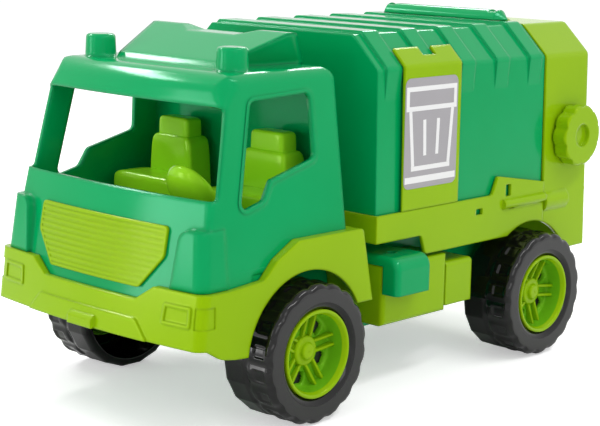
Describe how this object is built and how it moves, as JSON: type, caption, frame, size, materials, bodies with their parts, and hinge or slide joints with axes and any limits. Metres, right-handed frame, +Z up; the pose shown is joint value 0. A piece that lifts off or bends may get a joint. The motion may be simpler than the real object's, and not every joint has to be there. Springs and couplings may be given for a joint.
{
  "type": "toy garbage truck",
  "caption": "Plastic toy garbage truck: open cab with seats, ribbed tipping bin, lifting tailgate with a press turned by a knob, and free-rolling wheels.",
  "frame": {"origin": "on the ground, midway between the tow lug and the rear of the tailgate, on the truck's middle plane", "axes": "+Z up, -Y to the truck's front, +X to the truck's left side"},
  "size_m": [0.2632, 0.496, 0.2958],
  "materials": {
    "dark_green": "glossy moulded plastic",
    "lime": "glossy moulded plastic",
    "tyre_black": "hard glossy black moulded plastic",
    "steel": "plain drawn wire",
    "label": "printed paper sticker"
  },
  "bodies": {
    "frame": {"chassis": "dark_green", "axle_front": "steel", "axle_rear": "steel", "tip_pin": "steel", "cab": "dark_green", "bumper": "lime", "grille": "lime", "seats": "lime", "steering_wheel": "lime", "skirt_left": "lime", "skirt_right": "lime"},
    "bed": {"bed_tray": "lime", "bin": "dark_green", "strap_left": "lime", "strap_right": "lime", "hinge_cover": "dark_green", "hinge_pin": "steel"},
    "tailgate": {"tailgate": "lime"},
    "press": {"press": "dark_green", "knob": "lime"},
    "wheel_front_left": {"rim_front_left": "lime", "tyre_front_left": "tyre_black"},
    "wheel_front_right": {"rim_front_right": "lime", "tyre_front_right": "tyre_black"},
    "wheel_rear_left": {"rim_rear_left": "lime", "tyre_rear_left": "tyre_black"},
    "wheel_rear_right": {"rim_rear_right": "lime", "tyre_rear_right": "tyre_black"}
  },
  "joints": [
    {"name": "wheel_front_left_spin", "type": "hinge", "parent": "frame", "child": "wheel_front_left", "pos_m": [0.106, -0.1255, 0.054], "axis": [1, 0, 0], "continuous": true},
    {"name": "wheel_front_right_spin", "type": "hinge", "parent": "frame", "child": "wheel_front_right", "pos_m": [-0.106, -0.1255, 0.054], "axis": [1, 0, 0], "continuous": true},
    {"name": "wheel_rear_left_spin", "type": "hinge", "parent": "frame", "child": "wheel_rear_left", "pos_m": [0.106, 0.161, 0.054], "axis": [1, 0, 0], "continuous": true},
    {"name": "wheel_rear_right_spin", "type": "hinge", "parent": "frame", "child": "wheel_rear_right", "pos_m": [-0.106, 0.161, 0.054], "axis": [1, 0, 0], "continuous": true},
    {"name": "bed_tip", "type": "hinge", "parent": "frame", "child": "bed", "pos_m": [0, 0.1895, 0.08], "axis": [-1, 0, 0], "range_deg": [0, 36]},
    {"name": "tailgate_lift", "type": "hinge", "parent": "bed", "child": "tailgate", "pos_m": [0, 0.1718, 0.2904], "axis": [1, 0, 0], "range_deg": [0, 80]},
    {"name": "press_turn", "type": "hinge", "parent": "tailgate", "child": "press", "pos_m": [0, 0.2175, 0.1875], "axis": [1, 0, 0], "continuous": true}
  ]
}
